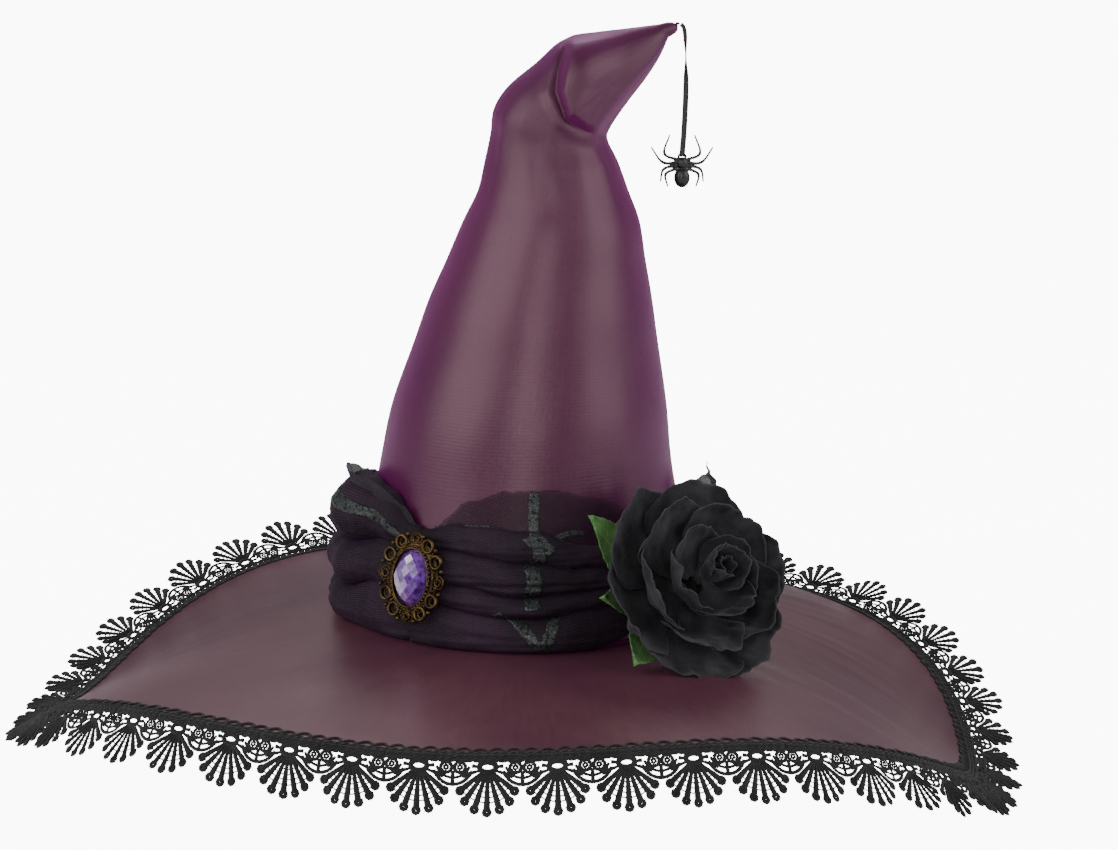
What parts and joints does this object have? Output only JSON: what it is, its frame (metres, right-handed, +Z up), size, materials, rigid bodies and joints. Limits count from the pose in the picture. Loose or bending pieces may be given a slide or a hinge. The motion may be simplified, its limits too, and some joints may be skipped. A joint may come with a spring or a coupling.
{
  "type": "witch hat",
  "caption": "Wide-brimmed pointed hat with a folded-over tip, lace edge, tulle sash, gem brooch, fabric rose and a toy spider hanging on a ribbon.",
  "frame": {"origin": "centre of the head opening, in the plane where the crown meets the brim", "axes": "+Z up through the crown, -Y to the hat's front, +X to the wearer's left (right-hand side seen from the front)"},
  "size_m": [0.552, 0.5543, 0.4095],
  "materials": {
    "satin": "shot purple-mauve satin with a soft sheen",
    "lining": "thin black woven lining",
    "foam": "dark sheet foam, not seen",
    "buckram": "stiff open-weave buckram, not seen",
    "wire": "plain spring-steel wire, not seen",
    "lace": "black embroidered lace, matt",
    "tape": "black ribbed cotton tape",
    "label": "blank white woven tape",
    "tulle": "see-through dark purple tulle with lines of dark glitter",
    "bronze": "antique bronze, dark in its hollows",
    "gem": "clear purple, faceted",
    "petal": "black matt petals with paler frayed edges",
    "leaf": "green printed leaf cloth",
    "ribbon": "narrow black satin ribbon",
    "spider_plastic": "moulded black, half gloss"
  },
  "bodies": {
    "hat": {"crown_cover": "satin", "crown_foam": "foam", "crown_lining": "lining", "brim_top_cover": "satin", "brim_buckram": "buckram", "brim_under_cover": "satin", "brim_edge_wire": "wire", "lace_trim": "lace", "sweatband": "tape", "care_label": "label", "sash_front": "tulle", "sash_back": "tulle", "sash_tail": "tulle", "brooch_backplate": "bronze", "brooch_setting": "bronze", "brooch_gem": "gem", "rose_backing": "petal", "rose_petal_outer_1": "petal", "rose_petal_outer_2": "petal", "rose_petal_outer_3": "petal", "rose_petal_outer_4": "petal", "rose_petal_outer_5": "petal", "rose_petal_outer_6": "petal", "rose_petal_middle_1": "petal", "rose_petal_middle_2": "petal", "rose_petal_middle_3": "petal", "rose_petal_middle_4": "petal", "rose_petal_middle_5": "petal", "rose_petal_inner_1": "petal", "rose_petal_inner_2": "petal", "rose_petal_inner_3": "petal", "rose_petal_inner_4": "petal", "rose_bud": "petal", "rose_leaf_upper": "leaf", "rose_leaf_middle": "leaf", "rose_leaf_lower": "leaf"},
    "tip": {"tip_cover": "satin", "tip_foam": "foam"},
    "tack": {"ribbon_tack": "ribbon"},
    "ribbon": {"spider_ribbon": "ribbon"},
    "spider": {"spider": "spider_plastic"}
  },
  "joints": [
    {"name": "tip_bend", "type": "hinge", "parent": "hat", "child": "tip", "pos_m": [0.044, 0, 0.26], "axis": [0, -1, 0], "range_deg": [-5, 18]},
    {"name": "ribbon_swing_side", "type": "hinge", "parent": "tip", "child": "tack", "pos_m": [0.0824, 0, 0.3115], "axis": [0, -1, 0], "range_deg": [-3, 75]},
    {"name": "ribbon_swing_front", "type": "hinge", "parent": "tack", "child": "ribbon", "pos_m": [0.0824, 0, 0.3115], "axis": [1, 0, 0], "range_deg": [-60, 60]},
    {"name": "spider_turn", "type": "hinge", "parent": "ribbon", "child": "spider", "pos_m": [0.082, 0, 0.2428], "axis": [0, 0, 1], "range_deg": [-180, 180]}
  ]
}
